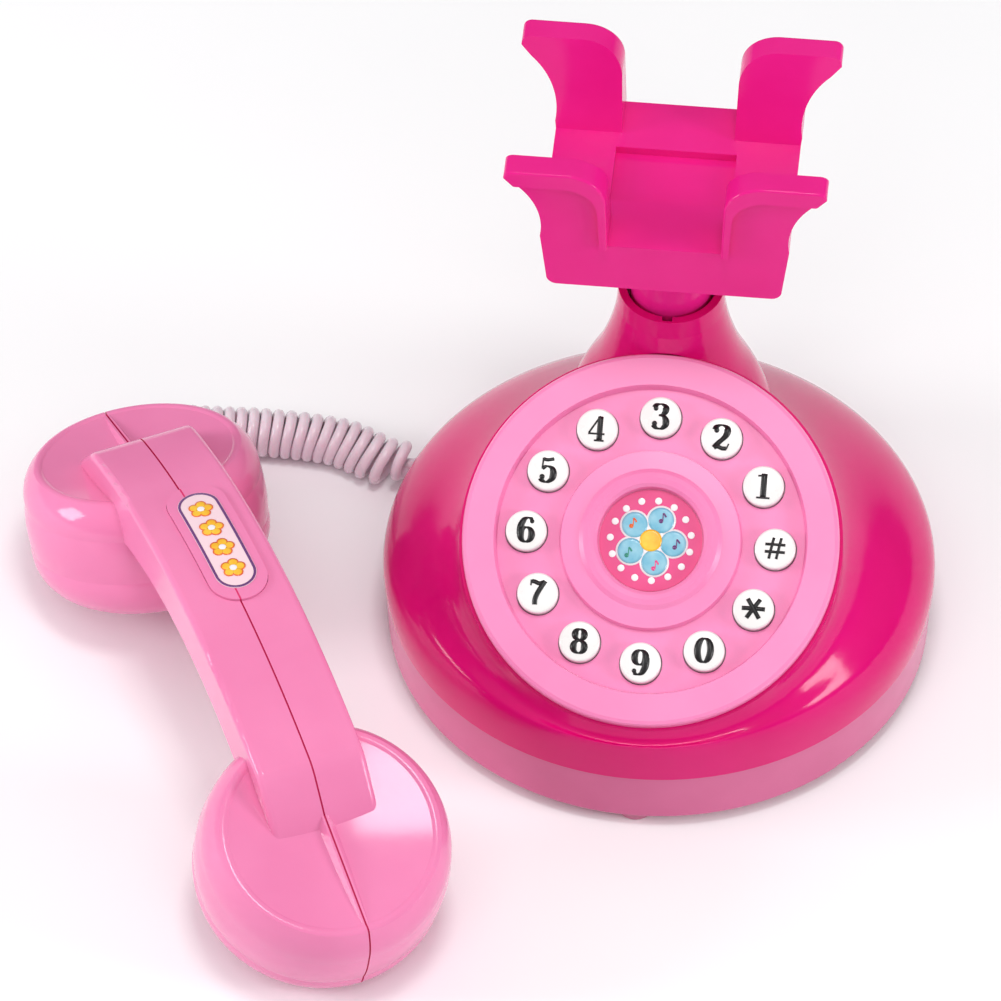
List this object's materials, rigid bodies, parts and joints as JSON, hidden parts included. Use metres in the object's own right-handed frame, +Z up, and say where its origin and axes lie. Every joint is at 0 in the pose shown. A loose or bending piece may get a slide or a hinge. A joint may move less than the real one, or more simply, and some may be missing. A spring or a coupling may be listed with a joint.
{
  "type": "toy telephone",
  "caption": "Round-based toy desk telephone with a tilted push-button dial, a horned cradle on a neck, and a separate handset on a curly cord.",
  "frame": {"origin": "on the table, under the centre of the round base", "axes": "+Z up, -Y to the front of the base, where the dial faces; the handset lies on the -X side"},
  "size_m": [0.2494, 0.2252, 0.174],
  "materials": {
    "shell_plastic": "gloss",
    "pan_plastic": "gloss",
    "dial_plastic": "satin",
    "handset_plastic": "gloss",
    "button_plastic": "satin",
    "sticker_film": "gloss",
    "cord_plastic": "satin",
    "foot_rubber": "matt",
    "membrane_rubber": "matt",
    "circuit_board": "matt",
    "switch_plastic": "matt",
    "cell_wrap": "gloss",
    "contact_metal": "bright",
    "screw_steel": "bright",
    "spring_steel": "bright",
    "speaker_steel": "plated",
    "speaker_paper": "matt"
  },
  "bodies": {
    "base": {"base_pan": "pan_plastic", "upper_shell": "shell_plastic", "feet": "foot_rubber", "shell_screws": "screw_steel", "battery_door": "pan_plastic", "battery_door_screw": "screw_steel", "batteries": "cell_wrap", "contact_plates": "contact_metal", "contact_springs": "contact_metal", "dial_plate": "dial_plastic", "dial_sticker": "sticker_film", "keypad_membrane": "membrane_rubber", "key_board": "circuit_board", "key_board_screws": "screw_steel", "stem_bush": "dial_plastic", "spring_seat": "shell_plastic", "cradle_spring": "spring_steel", "hook_switch": "switch_plastic", "speaker_frame": "speaker_steel", "speaker_cone": "speaker_paper", "speaker_magnet": "speaker_steel", "main_board": "circuit_board", "sound_chip": "switch_plastic", "power_switch_body": "switch_plastic", "cord_gland": "cord_plastic", "cord_coil": "cord_plastic", "cord_tail_handset": "cord_plastic", "cord_tail_base": "cord_plastic"},
    "cradle": {"cradle": "shell_plastic", "cradle_stem": "shell_plastic", "cradle_screw": "screw_steel", "stem_clip": "spring_steel"},
    "handset": {"handset_left_shell": "handset_plastic", "handset_right_shell": "handset_plastic", "handset_screws": "screw_steel", "handset_badge": "handset_plastic", "badge_sticker": "sticker_film", "handset_boot": "cord_plastic"},
    "power_switch_knob": {"power_switch_knob": "switch_plastic"},
    "button_3": {"button_3": "button_plastic"},
    "button_2": {"button_2": "button_plastic"},
    "button_1": {"button_1": "button_plastic"},
    "button_hash": {"button_hash": "button_plastic"},
    "button_star": {"button_star": "button_plastic"},
    "button_0": {"button_0": "button_plastic"},
    "button_9": {"button_9": "button_plastic"},
    "button_8": {"button_8": "button_plastic"},
    "button_7": {"button_7": "button_plastic"},
    "button_6": {"button_6": "button_plastic"},
    "button_5": {"button_5": "button_plastic"},
    "button_4": {"button_4": "button_plastic"}
  },
  "joints": [
    {"name": "cradle_press", "type": "slide", "parent": "base", "child": "cradle", "axis": [0, 0, -1], "range_m": [0, 0.003], "stiffness_N_per_m": 600, "springref_m": -0.004, "deforming": ["cradle_spring"]},
    {"name": "handset_lift", "type": "slide", "parent": "base", "child": "handset", "axis": [0, 0, 1], "range_m": [0, 0.06]},
    {"name": "power_switch_slide", "type": "slide", "parent": "base", "child": "power_switch_knob", "axis": [0, 1, 0], "range_m": [0, 0.004]},
    {"name": "press_3", "type": "slide", "parent": "base", "child": "button_3", "axis": [0, 0.5299, -0.848], "range_m": [0, 0.0012], "stiffness_N_per_m": 400, "springref_m": -0.0004},
    {"name": "press_2", "type": "slide", "parent": "base", "child": "button_2", "axis": [0, 0.5299, -0.848], "range_m": [0, 0.0012], "stiffness_N_per_m": 400, "springref_m": -0.0004},
    {"name": "press_1", "type": "slide", "parent": "base", "child": "button_1", "axis": [0, 0.5299, -0.848], "range_m": [0, 0.0012], "stiffness_N_per_m": 400, "springref_m": -0.0004},
    {"name": "press_hash", "type": "slide", "parent": "base", "child": "button_hash", "axis": [0, 0.5299, -0.848], "range_m": [0, 0.0012], "stiffness_N_per_m": 400, "springref_m": -0.0004},
    {"name": "press_star", "type": "slide", "parent": "base", "child": "button_star", "axis": [0, 0.5299, -0.848], "range_m": [0, 0.0012], "stiffness_N_per_m": 400, "springref_m": -0.0004},
    {"name": "press_0", "type": "slide", "parent": "base", "child": "button_0", "axis": [0, 0.5299, -0.848], "range_m": [0, 0.0012], "stiffness_N_per_m": 400, "springref_m": -0.0004},
    {"name": "press_9", "type": "slide", "parent": "base", "child": "button_9", "axis": [0, 0.5299, -0.848], "range_m": [0, 0.0012], "stiffness_N_per_m": 400, "springref_m": -0.0004},
    {"name": "press_8", "type": "slide", "parent": "base", "child": "button_8", "axis": [0, 0.5299, -0.848], "range_m": [0, 0.0012], "stiffness_N_per_m": 400, "springref_m": -0.0004},
    {"name": "press_7", "type": "slide", "parent": "base", "child": "button_7", "axis": [0, 0.5299, -0.848], "range_m": [0, 0.0012], "stiffness_N_per_m": 400, "springref_m": -0.0004},
    {"name": "press_6", "type": "slide", "parent": "base", "child": "button_6", "axis": [0, 0.5299, -0.848], "range_m": [0, 0.0012], "stiffness_N_per_m": 400, "springref_m": -0.0004},
    {"name": "press_5", "type": "slide", "parent": "base", "child": "button_5", "axis": [0, 0.5299, -0.848], "range_m": [0, 0.0012], "stiffness_N_per_m": 400, "springref_m": -0.0004},
    {"name": "press_4", "type": "slide", "parent": "base", "child": "button_4", "axis": [0, 0.5299, -0.848], "range_m": [0, 0.0012], "stiffness_N_per_m": 400, "springref_m": -0.0004}
  ]
}
